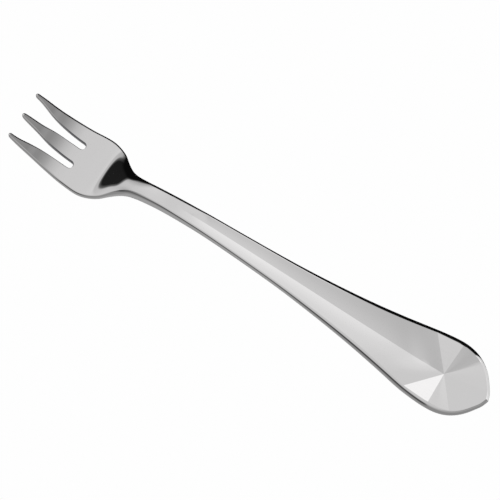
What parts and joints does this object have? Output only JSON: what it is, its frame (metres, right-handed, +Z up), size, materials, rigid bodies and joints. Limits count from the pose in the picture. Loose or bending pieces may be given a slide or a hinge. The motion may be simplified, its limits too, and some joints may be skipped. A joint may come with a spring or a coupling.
{
  "type": "oyster fork",
  "caption": "Oyster fork of polished stainless steel with short tines, a slim waisted neck and a facetted handle.",
  "frame": {"origin": "on the table, under the middle of the fork's length and width", "axes": "+X along the fork towards the tine tips, +Y across it, +Z up from the table"},
  "size_m": [0.15, 0.0216, 0.0102],
  "materials": {
    "polished_stainless": "mirror polished"
  },
  "bodies": {
    "root": {"fork": "polished_stainless"}
  },
  "joints": []
}
